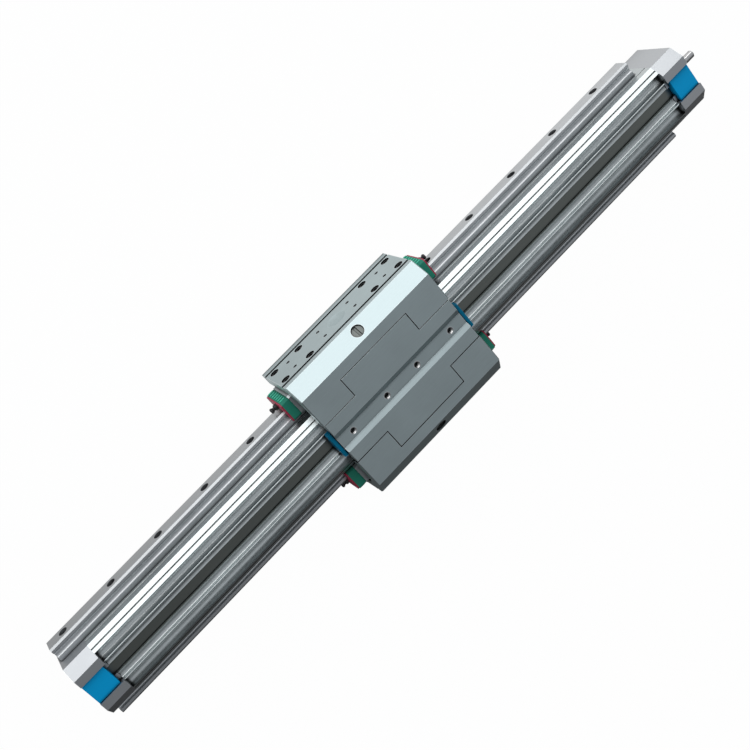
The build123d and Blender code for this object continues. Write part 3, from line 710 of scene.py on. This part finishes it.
# Painted shade: the plugs are dark metal, where the shoulders' bores lie in shade.
shaded_plug = finish("shaded_plug_metal", (0.13, 0.14, 0.135), 1.0, 0.3, **METAL)
# Painted shade: the side holes' threads are dark metal, where the bores lie in shade.
shaded_bore = finish("shaded_bore", (0.10, 0.105, 0.11), 1.0, 0.4, **BORE)
own_finish = {
    "cap_ribs": rib_highlight_green,
    "strip_wiper": wiper_blue,
    "shoulder_plug": shaded_plug,
    "threads_side": shaded_bore,
}


def dress(piece, slot):
    """Give a piece its own finish if its name starts with one of those names, or its slot's."""
    own = [made for start, made in own_finish.items() if piece.name.startswith(start)]
    piece.data.materials.clear()
    piece.data.materials.append(own[0] if own else finishes[slot])


for row in frame["record"]["subparts"]:
    dress(frame["nodes"][row["node"]], row["material_slot"])
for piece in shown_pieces():
    if "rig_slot" in piece:
        dress(piece, piece["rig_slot"])
print(len(finishes) + len(own_finish), "finishes on", len(frame["nodes"]), "CAD nodes")

# %% [markdown]
# ## Floor, light and camera
#
# The photograph has a bare white ground, so the floor and the world show white to the camera. A
# photographer places cards round bare metal, because it shows what it mirrors. Ramps do that here:
# the floor glows more to the left and to the drive end, and the sky is brighter on that side. One
# soft box on the left makes the left shoulders bright.


# %% Floor
def ramp_node(tree, value, low, high, low_result, high_result):
    """Smooth step of a socket: low_result below low, high_result above high."""
    node = tree.nodes.new("ShaderNodeMapRange")
    node.interpolation_type = "SMOOTHSTEP"
    node.inputs["From Min"].default_value = low
    node.inputs["From Max"].default_value = high
    node.inputs["To Min"].default_value = low_result
    node.inputs["To Max"].default_value = high_result
    tree.links.new(value, node.inputs["Value"])
    return node.outputs["Result"]


def plain_floor(name, size, height, camera_share, across_range, across_glow, along_range, along_glow):
    """Square floor with its own white, which takes a share of what the camera sees.

    Metal sees a glow = smooth step of Y over across_range * smooth step of X over along_range, and
    every other ray meets the plain surface.
    """
    sides = np.array([-size, size])
    x, y = np.meshgrid(sides, sides, indexing="ij")
    floor = grid_piece(name, np.stack([x, y, np.full((2, 2), height)], axis=-1))
    floor.data.flip_normals()
    material = bpy.data.materials.new(name)
    material.use_nodes = True
    material.cycles.emission_sampling = "NONE"
    tree = material.node_tree
    surface = tree.nodes["Principled BSDF"]
    surface.inputs["Base Color"].default_value = (0.75, 0.77, 0.78, 1)
    surface.inputs["Roughness"].default_value = 0.9
    glow = tree.nodes.new("ShaderNodeEmission")
    path = tree.nodes.new("ShaderNodeLightPath")
    mix = tree.nodes.new("ShaderNodeMixShader")
    place = tree.nodes.new("ShaderNodeTexCoord")
    split = tree.nodes.new("ShaderNodeSeparateXYZ")
    tree.links.new(place.outputs["Object"], split.inputs[0])
    across = ramp_node(tree, split.outputs["Y"], *across_range, *across_glow)
    along = ramp_node(tree, split.outputs["X"], *along_range, *along_glow)
    metal_glow = math_node(tree, "MULTIPLY", across, along)
    for_metal = math_node(tree, "MULTIPLY", path.outputs["Is Glossy Ray"], metal_glow)
    strength = math_node(tree, "ADD", path.outputs["Is Camera Ray"], for_metal)
    tree.links.new(strength, glow.inputs["Strength"])
    for_camera = math_node(tree, "MULTIPLY", path.outputs["Is Camera Ray"], camera_share)
    share = math_node(tree, "ADD", for_camera, path.outputs["Is Glossy Ray"])
    tree.links.new(share, mix.inputs[0])
    tree.links.new(surface.outputs[0], mix.inputs[1])
    tree.links.new(glow.outputs[0], mix.inputs[2])
    tree.links.new(mix.outputs[0], tree.nodes["Material Output"].inputs["Surface"])
    floor.data.materials.append(material)
    return floor


plain_floor(
    "floor",
    size=6.0,
    height=-0.5 * MM,
    camera_share=0.98,
    across_range=(-0.01, 0.055),
    across_glow=(0.11, 0.92),
    along_range=(-0.6, 0.5),
    along_glow=(0.47, 0.93),
)


# %% World
def studio_sky(tree):
    """Strength of the sky, from the height Z of a direction and t = Y + 0.5 X.

    Metal sees step(Z) * step(t) plus a box of light overhead, and every other ray sees a plain
    smooth step of t. The two are chosen by Light Path, and the camera sees white.
    """
    direction = tree.nodes.new("ShaderNodeTexCoord")
    parts = tree.nodes.new("ShaderNodeSeparateXYZ")
    tree.links.new(direction.outputs["Generated"], parts.inputs[0])
    height = parts.outputs["Z"]
    towards_drive = math_node(tree, "MULTIPLY", parts.outputs["X"], 0.5)
    leftness = math_node(tree, "ADD", parts.outputs["Y"], towards_drive)
    low_sky = ramp_node(tree, height, 0.15, 0.8, 0.5, 1.0)
    side_sky = ramp_node(tree, leftness, -0.65, -0.05, 0.13, 0.44)
    plain_sky = ramp_node(tree, leftness, -0.6, 0.6, 0.35, 1.0)
    sloped_sky = math_node(tree, "MULTIPLY", low_sky, side_sky)
    top_height = ramp_node(tree, height, 0.8, 0.95, 0.0, 0.7)
    top_side = ramp_node(tree, leftness, 0.1, 0.6, 0.0, 1.0)
    top_box = math_node(tree, "MULTIPLY", top_height, top_side)
    sky_for_metal = math_node(tree, "ADD", sloped_sky, top_box)
    sight = tree.nodes.new("ShaderNodeLightPath")
    darker = math_node(tree, "SUBTRACT", sky_for_metal, plain_sky)
    change = math_node(tree, "MULTIPLY", sight.outputs["Is Glossy Ray"], darker)
    sky = tree.nodes["Background"]
    sky.inputs["Color"].default_value = (0.93, 0.96, 1.0, 1)
    tree.links.new(math_node(tree, "ADD", change, plain_sky), sky.inputs["Strength"])
    white = tree.nodes.new("ShaderNodeBackground")
    white.inputs["Color"].default_value = (1, 1, 1, 1)
    chooser = tree.nodes.new("ShaderNodeMixShader")
    tree.links.new(sight.outputs["Is Camera Ray"], chooser.inputs[0])
    tree.links.new(sky.outputs[0], chooser.inputs[1])
    tree.links.new(white.outputs[0], chooser.inputs[2])
    tree.links.new(chooser.outputs[0], tree.nodes["World Output"].inputs["Surface"])


world = bpy.data.worlds.new("studio")
bpy.context.scene.world = world
world.use_nodes = True
world.cycles.sampling_method = "NONE"
studio_sky(world.node_tree)
print("world", world.name, len(world.node_tree.nodes), "nodes")


# %% Lamp
def soft_box(name, place, target, width, height, watts):
    """Rectangular lamp at place, facing target, its long side level."""
    lamp = bpy.data.lights.new(name, "AREA")
    lamp.shape = "RECTANGLE"
    lamp.size = width
    lamp.size_y = height
    lamp.energy = watts
    holder = bpy.data.objects.new(name, lamp)
    bpy.context.scene.collection.objects.link(holder)
    holder.location = place
    holder.rotation_euler = (Vector(target) - Vector(place)).to_track_quat("-Z", "Y").to_euler()
    return holder


middle = Vector((0.0, 0.0, 0.04))
left_box = soft_box("left_box", (0.1, 1.65, 0.75), middle, width=3.0, height=0.8, watts=16)
print("lamp", left_box.name, left_box.data.energy, "W")


# %% Camera
def photo_camera(place, target, roll_degrees, pixel_focal, picture=750):
    """Camera at place looking at target, turned about its own axis from +Y up by the roll."""
    data = bpy.data.cameras.new("photo_camera")
    data.sensor_width = 36.0
    data.lens = data.sensor_width * pixel_focal / picture
    data.clip_start = 0.01
    data.clip_end = 50.0
    camera = bpy.data.objects.new("photo_camera", data)
    bpy.context.scene.collection.objects.link(camera)
    forward = (Vector(target) - Vector(place)).normalized()
    right = forward.cross(Vector((0, 1, 0))).normalized()
    up = right.cross(forward)
    turn = Matrix.Rotation(math.radians(roll_degrees), 3, forward)
    right, up = turn @ right, turn @ up
    axes = Matrix((right, up, -forward)).transposed()
    camera.matrix_world = Matrix.Translation(place) @ axes.to_4x4()
    bpy.context.scene.camera = camera
    return camera


place = Vector((-0.2133, 0.5062, 1.1636))
target = Vector((-0.0217, 0.0051, 0.040))
camera = photo_camera(place, target, roll_degrees=41.92, pixel_focal=1305.0)
bpy.context.scene.view_settings.view_transform = "Standard"
print("camera", round((place - target).length, 2), "m away, lens", round(camera.data.lens, 1), "mm")
